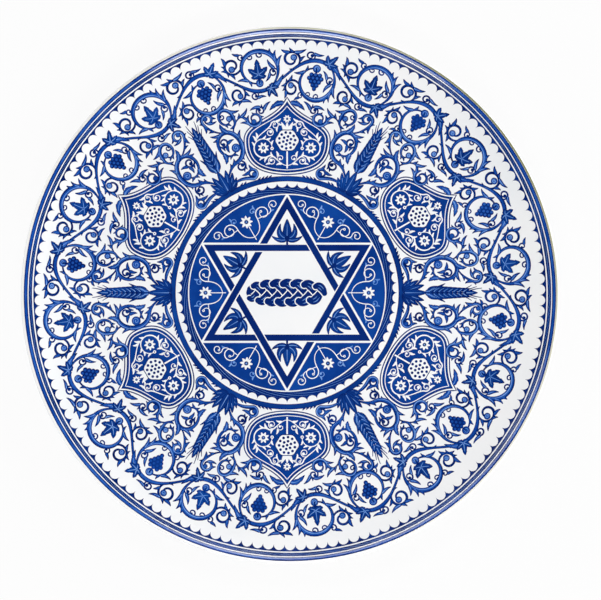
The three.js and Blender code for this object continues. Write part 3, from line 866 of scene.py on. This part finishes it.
def scroll_spray(vine):
    """Lyre-shaped spray round an ear of wheat, in the room between two panels and the vine."""
    middle = (PANELS_OUTER + FIELD_INNER) / 2
    space = (middle * math.sin(SPRAY_ANGLE) - PANEL_WIDTH / 2 - FIELD_GAP) / math.cos(SPRAY_ANGLE)
    scale = np.array([space / 2.5, (PANELS_OUTER - FIELD_INNER) / 3.6])

    def place(points):
        return same(points) * scale + (0, FIELD_INNER)

    drawing, half, room = Drawing(), Drawing(), spray_room(vine)
    large = spiral((1.4, 1.85), 0.88, -UP, 1.15, 0.42)
    line = led(large, (0.25, 0.3), (0.8, large[0][1]), steps=10)
    blue_scroll(room, half, place(line), 0.9, 3.0, 2.7)
    small = spiral((2.05, 3.1), 0.5, -0.4, 1.0, 0.24)
    small = led(small, large[10], large[10] + (0.2, 0.42), small[0] + (0.02, -0.35), steps=10)
    blue_scroll(room, half, place(small), 0.8, 2.3, 1.9, layer=3)
    sweep = FIELD_INNER + 0.5 + 1.8 * np.sin(np.linspace(0, math.pi, 22))
    end = UP - 0.24
    base = polar(sweep, UP - np.linspace(0.02, 0.24, 22))
    curl = spiral(base[-1] + polar(3.1, end), 3.1, end - math.pi, 1.15, 1.3)
    blue_scroll(room, half, np.concatenate([base[:-1], curl]), 0.8, 2.3, 1.5, layer=3)
    fork = place(small[6])
    curl = spiral((35.4, 99.8), 4.6, math.pi - 0.3, 1.15, 1.8)
    curl = led(curl, fork, fork + (5.0, 3.5), curl[0] + (-1.0, 4.0))
    blue_scroll(room, half, curl, 0.8, 2.2, 1.7)
    fork = place(large[13])
    curl = spiral((10.2, FIELD_INNER + 42.6), 3.7, math.pi + 0.3, -1.2, 1.4)
    curl = led(curl, fork, fork + (-5.5, 1.5), curl[0] - (-0.9, 3.4))
    blue_scroll(room, half, curl, 0.8, 2.1, 1.5, layer=3)
    add_ear(drawing, half, room, scale[1])
    add_palmette(drawing, half, room)
    blade = bezier((0.5, FIELD_INNER + 12), (1.6, FIELD_INNER + 17), (5.6, FIELD_INNER + 24), steps=26)
    blue_leaf(room, half, blade, 2.4)
    tip = np.array([-1.9, PANELS_OUTER - 1.4])
    sprig = bezier(tip, tip + (-4.4, 1.3), tip + (-8.6, -4.2), steps=26)
    blue_leaf(room, half, turned(sprig, -SPRAY_ANGLE), 3.6, 3)
    for index, size in ((12, 7.5), (24, 6.5)):
        start = place(large[index])
        ahead = place(large[index + 1]) - place(large[index - 1])
        ahead /= np.hypot(*ahead)
        out = np.array([ahead[1], -ahead[0]])
        tip = start + ahead * size * 0.75 + out * size * 0.6
        rib = bezier(start, start + ahead * size * 0.55 + out * 0.4, tip, steps=26)
        blue_leaf(room, half, rib, 3.2, 3)
    blue_fill(room, half, 0.5, 1.15, grid((0, 62), (MEDALLION_BAND_OUTER, PANELS_OUTER + SPRAY_REACH)))
    drawing.include(half, same, mirrored)
    return drawing


def add_palmette(drawing, half, room):
    """Fan of dark lobes at the foot of a spray."""
    foot = np.array([0, MEDALLION_BAND_OUTER])
    for k, (lean, length) in enumerate(((0, 14.0), (0.36, 13.0), (0.7, 11.6), (1.02, 9.8), (1.3, 7.6))):
        tip = foot + polar(length, UP - lean)
        pull = foot + polar(length * 0.6, UP - lean * 1.25)
        rib = bezier(foot + (0.3 * (k > 0), 0), pull, tip, steps=24)
        target = half if k else drawing
        target.leaf(rib, length * 0.34, "middle", "line", 1, 12 - 2 * k)
        room.block(rib, length * 0.15)


def add_ear(drawing, half, room, scale):
    """Ear of wheat: a stalk, pairs of grains that get smaller, and one at the tip."""
    axis = np.linspace((0, FIELD_INNER), (0, FIELD_INNER + 2.9 * scale), 30)
    drawing.stroke(axis, np.linspace(1.4, 0.9, 30), "line", 2)
    room.block(axis, 0.6, sprouts=True)
    for k in range(8):
        y = FIELD_INNER + (1.15 + 0.24 * k) * scale
        size = 1.25 - 0.06 * k
        rib = bezier((0.2, y), (2.2 * size, y + 1), (3.0 * size, y + 5.4 * size), steps=16)
        half.leaf(rib, 3.0 * size, "middle", "line", 1, 6 + k % 2)
        room.block(rib, 1.4)
    tip = np.linspace((0, FIELD_INNER + 2.95 * scale), (0, FIELD_INNER + 3.55 * scale), 15)
    drawing.leaf(tip, 3.2, "middle", "line", 1, 8)
    room.block(tip, 1.4)
    for k in range(3):
        root = np.array([1.4, FIELD_INNER + (2.75 + 0.22 * k) * scale])
        awn = bezier(root, root + (1.8 - 0.3 * k, 4.0), root + (3.2 - 0.9 * k, 6.0 + 0.4 * k), steps=12)
        half.stroke(awn, np.linspace(0.7, 0.35, len(awn)), "line", 5)
        room.block(awn, 0.4)


def vine_wave():
    """One wave of the running vine, with a coil under its crest and one over its trough."""
    length = FULL_TURN * VINE_RADIUS / VINE_WAVES
    swing = VINE_WIDTH * 0.3
    coil_radius = VINE_WIDTH * 0.425
    reach = VINE_WIDTH / 2 + 1.3

    def shifted(step):
        return lambda points: same(points) * (1, (-1) ** step) + (step * length / 2, 0)

    neighbours = [shifted(step) for step in (-2, -1, 1, 2)]
    room = Room([same, *neighbours], lambda centre, radius: abs(centre[1]) + radius < reach)
    half = Drawing()
    along = np.linspace(-length / 4, length / 4, 26)
    stem = np.stack([along, swing * np.cos(FULL_TURN * along / length)], -1)
    width = 1.5 + 1.1 * np.sin(np.linspace(0, math.pi, len(stem))) ** 2
    half.stroke(stem, width, "line", 1, cap=False)
    body = width - 2 * EDGE_WIDTH
    half.ribbon(stem, body * 0.3, body * 0.6, "fill", 4)
    room.block(stem, width / 2, sprouts=True)
    middle = np.array([0, swing - coil_radius])
    coil = spiral(middle, coil_radius, math.pi / 3, -0.92, 8.0, 40)
    blue_scroll(room, half, coil, 0.9, 2.9, 2.4)
    room.spot(middle - (0, 0.6), 4.6)
    fork = coil[0]
    rib = bezier(fork + (-3.0, 1.0), fork + (5.0, 0.8), fork + (8.4, -7.4), steps=40)
    blue_leaf(room, half, rib, 3.8, 4, 7)
    half.leaf_cluster(fork + (0.4, 0.6), 0.9, 6.2, 9)
    room.block(np.linspace(fork, fork + polar(6.2, 0.9), 8), 2.4)
    blue_fill(room, half, 0.7, 1.05, grid((-length / 4, length / 4), (-reach, reach)))

    def bent(side):
        def place(points):
            points = same(points) * (1, side) + (length / 2 - side * length / 4, 0)
            return polar(VINE_RADIUS + points[:, 1], UP - points[:, 0] / VINE_RADIUS)

        return place

    grapes, leaf = Drawing(), Drawing()
    hook = middle + (0, 5.4)
    grapes.grapes(hook, -UP, 10.4)
    leaf.leaf_cluster(hook - (0, 2.6), -UP, 8.0)
    for accent in (grapes, leaf):
        accent.stroke(np.linspace(coil[-1], hook - (0, 2.4), 6), 1.0, "line", 6)
    drawing = Drawing()
    drawing.include(half, bent(1), bent(-1))
    drawing.include(grapes, bent(1))
    drawing.include(leaf, bent(-1))
    return drawing


# Materials: scales of noise per metre, lengths in metres

GLAZE_IOR = 1.5
GLAZE_ROUGHNESS = (0.07, 0.12)
GLOSS_SCALE = 90.0
RIPPLE_SCALE = 55.0
RIPPLE_DEPTH = 0.0002
RIPPLE_STRENGTH = 0.12
BARE_ROUGHNESS = (0.6, 0.8)
WEAR_SCALE = 400.0
GRAIN_SCALE = 4000.0
GRAIN_DEPTH = 0.00005
GRAIN_STRENGTH = 0.5
NOISE_MIDDLE = (0.3, 0.7)
TONE_RANGE = (0.32, 0.68)


def srgb(red, green, blue):
    values = [value / 255 for value in (red, green, blue)]
    linear = [v / 12.92 if v <= 0.04045 else ((v + 0.055) / 1.055) ** 2.4 for v in values]
    return (*linear, 1.0)


class Tree:
    """Nodes of a material or of the world."""

    def __init__(self, owner):
        owner.use_nodes = True
        self.nodes = owner.node_tree.nodes
        self.link = owner.node_tree.links.new
        self.shader = self.nodes.get("Principled BSDF")

    def feed(self, source, name):
        self.link(source, self.shader.inputs[name])

    def place(self, kind="Object"):
        return self.nodes.new("ShaderNodeTexCoord").outputs[kind]

    def noise(self, scale, detail=3.0):
        """Noise that stays with the object, its scale counted per metre."""
        texture = self.nodes.new("ShaderNodeTexNoise")
        texture.inputs["Scale"].default_value = scale
        texture.inputs["Detail"].default_value = detail
        self.link(self.place(), texture.inputs["Vector"])
        return texture.outputs["Fac"]

    def math(self, operation, *sources):
        """Result of an operation on sockets and numbers."""
        node = self.nodes.new("ShaderNodeMath")
        node.operation = operation
        for source, socket in zip(sources, node.inputs):
            if isinstance(source, float):
                socket.default_value = source
            else:
                self.link(source, socket)
        return node.outputs["Value"]

    def towards_shaded_side(self, scale):
        """Rises over the object towards the side where the lip's shade is painted, through a half in the
        middle.
        """
        along = self.nodes.new("ShaderNodeVectorMath")
        along.operation = "DOT_PRODUCT"
        self.link(self.place(), along.inputs[0])
        along.inputs[1].default_value = SHADED_SIDE
        return self.math("MULTIPLY_ADD", along.outputs["Value"], scale, 0.5)

    def ramp(self, source, stops):
        mapping = self.nodes.new("ShaderNodeValToRGB")
        elements = mapping.color_ramp.elements
        while len(elements) < len(stops):
            elements.new(0.5)
        for element, (position, colour) in zip(elements, stops):
            element.position = position
            element.color = colour
        self.link(source, mapping.inputs["Fac"])
        return mapping.outputs["Color"]

    def span(self, source, low, high):
        """Spreads the middle of a noise over a range of values."""
        mapping = self.nodes.new("ShaderNodeMapRange")
        names = ("From Min", "From Max", "To Min", "To Max")
        for name, value in zip(names, (*NOISE_MIDDLE, low, high)):
            mapping.inputs[name].default_value = value
        self.link(source, mapping.inputs["Value"])
        return mapping.outputs["Result"]

    def bump(self, source, distance, strength):
        relief = self.nodes.new("ShaderNodeBump")
        relief.inputs["Distance"].default_value = distance
        relief.inputs["Strength"].default_value = strength
        self.link(source, relief.inputs["Height"])
        self.feed(relief.outputs["Normal"], "Normal")


def glaze(name, tones, scale, source=Tree.noise):
    """Clear glossy glaze over a ground that drifts between the tones, faintly rippled."""
    material = bpy.data.materials.new(name)
    tree = Tree(material)
    positions = np.linspace(*TONE_RANGE, len(tones))
    stops = [(position, srgb(*tone)) for position, tone in zip(positions, tones)]
    tree.feed(tree.ramp(source(tree, scale), stops), "Base Color")
    tree.feed(tree.span(tree.noise(GLOSS_SCALE), *GLAZE_ROUGHNESS), "Roughness")
    tree.shader.inputs["IOR"].default_value = GLAZE_IOR
    tree.bump(tree.noise(RIPPLE_SCALE, 2.0), RIPPLE_DEPTH, RIPPLE_STRENGTH)
    return material


def bare_porcelain():
    """Unglazed base of the foot: matt, fine-grained and a little soiled by use."""
    material = bpy.data.materials.new("bare_porcelain")
    tree = Tree(material)
    wear = tree.noise(WEAR_SCALE, 6.0)
    stops = [(0.35, srgb(186, 176, 160)), (0.65, srgb(222, 216, 204))]
    tree.feed(tree.ramp(wear, stops), "Base Color")
    tree.feed(tree.span(wear, *BARE_ROUGHNESS), "Roughness")
    tree.bump(tree.noise(GRAIN_SCALE, 4.0), GRAIN_DEPTH, GRAIN_STRENGTH)
    return material


INKS = {
    "line": glaze("ink_line", [(2, 28, 92), (4, 38, 108), (8, 52, 130)], 70.0),
    "navy": glaze("ink_navy", [(3, 32, 102), (4, 38, 110), (6, 44, 120)], 45.0),
    "middle": glaze("ink_middle", [(6, 46, 120), (10, 56, 134), (16, 68, 150)], 70.0),
    "ground": glaze("ink_ground", [(5, 50, 128), (8, 58, 140), (14, 68, 152)], 60.0),
    "fill": glaze("ink_fill", [(14, 62, 148), (26, 76, 164), (46, 98, 184)], 80.0),
    "light": glaze("ink_light", [(84, 132, 204), (104, 148, 216), (130, 170, 226)], 80.0),
    "white": glaze("glaze_white", [(238, 240, 242), (242, 243, 244), (245, 245, 245)], 30.0),
}
INK_ORDER = list(INKS)
PORCELAIN = glaze("glaze_porcelain", [(239, 241, 243), (243, 244, 245), (246, 246, 246)], 22.0)
# Painted shade on the lip: near white on one side of the tray, darkening to olive grey towards the other,
# in place of the lip's shaded edge.
LIP_SHADE_TONES = [(252, 252, 250), (248, 247, 244), (236, 234, 225), (214, 212, 196), (132, 132, 94)]
LIP_PAINTED_SHADE = glaze("glaze_lip_painted_shade", LIP_SHADE_TONES, 1.15, Tree.towards_shaded_side)
BARE = bare_porcelain()


# Meshes: creases in degrees, and how many faces tell which way a shape is wound

BODY_CREASE = 35
PRINT_CREASE = 40
WINDING_FACES = 8


def new_object(name, points, faces, materials, indices, crease=PRINT_CREASE):
    mesh = bpy.data.meshes.new(name)
    mesh.from_pydata((np.asarray(points) * MM).tolist(), [], faces)
    for material in materials:
        mesh.materials.append(material)
    mesh.polygons.foreach_set("material_index", np.asarray(indices, dtype=np.int32))
    mesh.shade_smooth()
    mesh.set_sharp_from_angle(angle=math.radians(crease))
    mesh.update()
    piece = bpy.data.objects.new(name, mesh)
    bpy.context.collection.objects.link(piece)
    return piece


def underside_point(radius):
    """Point of the underside, square to the upper face at a radius."""
    share = (radius - WELL_RADIUS) / (RIM_EDGE - WELL_RADIUS)
    thickness = WELL_THICKNESS + (2 * LIP_RADIUS - WELL_THICKNESS) * share
    slope = math.atan(2 * RIM_CURVE * (radius - WELL_RADIUS))
    height = float(face_height(radius))
    return (radius + thickness * math.sin(slope), height - thickness * math.cos(slope))


def body_profile():
    """Section of the body, radius by height, from the underside's middle to the well's."""

    def foot_side(side):
        curves = [bezier(*FOOT_FILLET, steps=5), bezier(*FOOT_ROUNDING, steps=4)]
        return np.concatenate(curves) * (side, 1) + (FOOT_MIDDLE, 0)

    def level(start, end, rows, height):
        return [(radius, height) for radius in np.linspace(start, end, rows)]

    flat = level(0, FOOT_MIDDLE - FOOT_INNER_ROOM, UNDERSIDE_ROWS, FOOT_HEIGHT)[1:]
    beyond = level(FOOT_MIDDLE + FOOT_OUTER_ROOM, WELL_RADIUS, OUTER_ROWS, FOOT_HEIGHT)
    rim = np.linspace(WELL_RADIUS, RIM_EDGE, RIM_ROWS + 1)
    below = [underside_point(radius) for radius in rim[1:-1]]
    angles = np.linspace(RIM_ANGLE - UP, RIM_ANGLE + UP, LIP_ROWS + 1)
    lip = polar(LIP_RADIUS, angles) + (CROWN_RADIUS, LIP_HEIGHT)
    above = [(radius, float(face_height(radius))) for radius in rim[-2::-1]]
    well = level(WELL_RADIUS, 0, WELL_ROWS, WELL_HEIGHT)[1:-1]
    foot = [foot_side(-1), foot_side(1)[::-1]]
    return np.concatenate([flat, *foot, beyond, below, lip, above, well])


def body_zone(ends):
    """Which of the body's materials a strip of it has: glaze, bare foot, or glaze with painted shade on
    the lip.
    """
    if ends[:, 1].max() == 0:
        return 1
    inner, outer = ends[:, 0].min() - CROWN_RADIUS, ends[:, 0].max() - CROWN_RADIUS
    upper = ends[:, 1].min() > LIP_HEIGHT
    return 2 if upper and inner > LIP_SHADE_START and outer < LIP_SHADE_END else 0


def add_body():
    profile = body_profile()
    rows, steps = len(profile), BODY_SEGMENTS
    angle = np.arange(steps) * FULL_TURN / steps
    radius, height = np.repeat(profile[:, 0], steps), np.repeat(profile[:, 1], steps)
    around = np.tile(angle, rows)
    points = np.stack([radius * np.cos(around), radius * np.sin(around), height], -1)
    points = np.concatenate([points, [(0, 0, FOOT_HEIGHT), (0, 0, WELL_HEIGHT)]])
    below, above = rows * steps, rows * steps + 1
    faces, indices = [], []
    for row in range(rows - 1):
        zone = body_zone(profile[row : row + 2])
        for k in range(steps):
            a, b = row * steps + k, row * steps + (k + 1) % steps
            faces.append((a, b, b + steps, a + steps))
            indices.append(zone)
    last = (rows - 1) * steps
    for k in range(steps):
        after = (k + 1) % steps
        faces += [(below, after, k), (above, last + k, last + after)]
        indices += [0, 0]
    # The third material is the lip's painted shade.
    materials = [PORCELAIN, BARE, LIP_PAINTED_SHADE]
    piece = new_object("glazed_body", points, faces, materials, indices, BODY_CREASE)
    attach(piece, "root")
    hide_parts("tray_body")


def signed_area(points, face):
    x, y = points[list(face)].T
    return np.sum(x * np.roll(y, -1) - y * np.roll(x, -1))


def slabs_of(drawing):
    """Every shape of a drawing as a thin closed slab, still flat: plan, height, faces, inks."""
    plan, layers, tops, faces, indices = [], [], [], [], []
    start = 0
    for number, (points, shape_faces, ink, layer) in enumerate(drawing.shapes):
        count = len(points)
        layer += number % SHAPE_STEPS * SHAPE_STEP
        if sum(signed_area(points, face) for face in shape_faces[:WINDING_FACES]) < 0:
            shape_faces = [face[::-1] for face in shape_faces]
        edges = set()
        for face in shape_faces:
            edges.update(zip(face, face[1:] + face[:1]))
        walls = [(b, a, a + count, b + count) for a, b in sorted(edges) if (b, a) not in edges]
        bottoms = [tuple(k + count for k in face[::-1]) for face in shape_faces]
        slab = [*shape_faces, *bottoms, *walls]
        faces += [tuple(k + start for k in face) for face in slab]
        indices += [INK_ORDER.index(ink)] * len(slab)
        plan += [points, points]
        layers.append(np.full(2 * count, float(layer)))
        tops.append(np.repeat([1.0, 0.0], count))
        start += 2 * count
    return np.concatenate(plan), np.concatenate(layers), np.concatenate(tops), faces, indices


def add_prints(drawing, nodes, shift=MEDALLION_SHIFT, first_turn=0.0):
    """Lays a drawing on the tray once for each of its nodes, evenly turned."""
    plan, layers, tops, faces, indices = slabs_of(drawing)
    lift = np.where(tops > 0, PRINT_RISE + layers * LAYER_STEP, -PRINT_SINK)
    for k, node in enumerate(nodes):
        points = turned(plan, first_turn + FULL_TURN * k / len(nodes)) + shift
        height = face_height(np.hypot(*points.T)) + lift
        points = np.concatenate([points, height[:, None]], axis=1)
        piece = new_object(f"print_{node}", points, faces, INKS.values(), indices)
        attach(piece, "root")
        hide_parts(node)


def numbered(name, count):
    return [f"{name}_{k + 1}" for k in range(count)]


NO_SHIFT = np.zeros(2)
add_body()
add_prints(rim_band(), ["rim_band"], NO_SHIFT)
add_prints(rope_band(), ["rope_band"], NO_SHIFT)
add_prints(scallop_border(), ["scallop_border"], NO_SHIFT)
add_prints(medallion_rope_band(), ["medallion_rope_band"])
add_prints(medallion_band(), ["medallion_band"])
add_prints(ground_panel(), numbered("ground_panel", STAR_POINTS))
add_prints(star_bar(), numbered("star_bar", STAR_POINTS))
add_prints(star_bud(), numbered("star_bud", STAR_POINTS))
add_prints(loaf_motif(), ["loaf_motif"])
add_prints(ogee_panel(), numbered("ogee_panel", PANEL_COUNT))
spray_nodes = numbered("scroll_spray", PANEL_COUNT)
vine = vine_wave()
add_prints(vine, numbered("vine_wave", VINE_WAVES))
add_prints(scroll_spray(vine), spray_nodes, first_turn=SPRAY_ANGLE)

# Floor, in metres

FLOOR_HALF = 4.0
FLOOR_HEIGHT = -0.00005
FLOOR_WHITE_SHARE = 0.94
PAPER_SCALE = 3.0
PAPER_ROUGHNESS = 0.9
PAPER_SPECULAR = 0.1


def paper():
    """White paper: what sees it directly or in a reflection sees most of it as plain white."""
    material = bpy.data.materials.new("paper")
    tree = Tree(material)
    stops = [(0.3, srgb(247, 247, 247)), (0.7, srgb(250, 250, 250))]
    tree.feed(tree.ramp(tree.noise(PAPER_SCALE), stops), "Base Color")
    tree.shader.inputs["Roughness"].default_value = PAPER_ROUGHNESS
    tree.shader.inputs["Specular IOR Level"].default_value = PAPER_SPECULAR
    path = tree.nodes.new("ShaderNodeLightPath")
    seen = path.outputs["Is Camera Ray"]
    for kind in ("Is Glossy Ray", "Is Transmission Ray"):
        seen = tree.math("MAXIMUM", seen, path.outputs[kind])
    share = tree.math("MULTIPLY", seen, FLOOR_WHITE_SHARE)
    white = tree.nodes.new("ShaderNodeEmission")
    white.inputs["Color"].default_value = srgb(253, 253, 253)
    mixed = tree.nodes.new("ShaderNodeMixShader")
    sources = (share, tree.shader.outputs["BSDF"], white.outputs["Emission"])
    for source, socket in zip(sources, mixed.inputs):
        tree.link(source, socket)
    tree.link(mixed.outputs["Shader"], tree.nodes["Material Output"].inputs["Surface"])
    return material


def add_floor():
    corners = [(-1, -1), (1, -1), (1, 1), (-1, 1)]
    points = np.array([(x * FLOOR_HALF, y * FLOOR_HALF, FLOOR_HEIGHT) for x, y in corners]) / MM
    floor = new_object("floor", points, [(0, 1, 2, 3)], [paper()], [0])


# Light: angles in degrees, lengths in metres. The lamps of the north and the south stand where
# the outer slope of the rim mirrors them to the camera; each has an azimuth and a radiance.

TARGET_HEIGHT = 0.01
LAMP_DISTANCE = 2.0
RIM_LAMP_POLAR = 41.6
NORTH_SIZE = (0.85, 0.29)
NORTH_LAMPS = ((78, 8.6), (113, 5.8), (148, 4.4))
SOUTH_SIZE = (0.6, 0.28)
SOUTH_LAMPS = ((246, 9.0), (268, 12.5), (288, 12.5))
EAST_POLAR = 65
EAST_SIZE = (1.1, 0.65)
EAST_LAMPS = ((5, 8.0),)
WALL_LIGHT = (1.3, 1.3, 1.3, 1)
CEILING_LIGHT = (0.05, 0.05, 0.055, 1)


def add_lamps(name, lamps, polar_angle, size):
    """Rectangular softboxes that face the tray."""
    polar_angle = math.radians(polar_angle)
    out = math.sin(polar_angle) * LAMP_DISTANCE
    height = TARGET_HEIGHT + math.cos(polar_angle) * LAMP_DISTANCE
    for index, (azimuth, radiance) in enumerate(lamps):
        azimuth = math.radians(azimuth)
        data = bpy.data.lights.new(f"{name}_softbox_{index + 1}", "AREA")
        data.shape = "RECTANGLE"
        data.size, data.size_y = size
        data.energy = math.pi * size[0] * size[1] * radiance
        lamp = bpy.data.objects.new(data.name, data)
        lamp.location = (out * math.cos(azimuth), out * math.sin(azimuth), height)
        lamp.rotation_euler = (polar_angle, 0, azimuth + UP)
        bpy.context.collection.objects.link(lamp)


def add_world():
    """Pale studio walls under a dark ceiling."""
    world = bpy.data.worlds.new("studio")
    tree = Tree(world)
    parts = tree.nodes.new("ShaderNodeSeparateXYZ")
    tree.link(tree.place("Generated"), parts.inputs["Vector"])
    colour = tree.ramp(parts.outputs["Z"], [(0.3, WALL_LIGHT), (0.55, CEILING_LIGHT)])
    tree.link(colour, tree.nodes["Background"].inputs["Color"])
    bpy.context.scene.world = world


add_floor()
add_world()
add_lamps("north", NORTH_LAMPS, RIM_LAMP_POLAR, NORTH_SIZE)
add_lamps("south", SOUTH_LAMPS, RIM_LAMP_POLAR, SOUTH_SIZE)
add_lamps("east", EAST_LAMPS, EAST_POLAR, EAST_SIZE)

# Camera, straight above the tray. The image is 601 by 600 pixels.

CAMERA_AXIS = (0.0063, -0.0030)
CAMERA_DISTANCE = 1.2
LIP_PLANE = 0.020
SENSOR_WIDTH = 36.0
IMAGE_WIDTH = 0.3567

camera_data = bpy.data.cameras.new("camera")
camera_data.sensor_width = SENSOR_WIDTH
camera_data.lens = SENSOR_WIDTH * CAMERA_DISTANCE / IMAGE_WIDTH
camera = bpy.data.objects.new("camera", camera_data)
camera.location = (*CAMERA_AXIS, LIP_PLANE + CAMERA_DISTANCE)
bpy.context.collection.objects.link(camera)
bpy.context.scene.camera = camera
bpy.context.scene.view_settings.view_transform = "Standard"
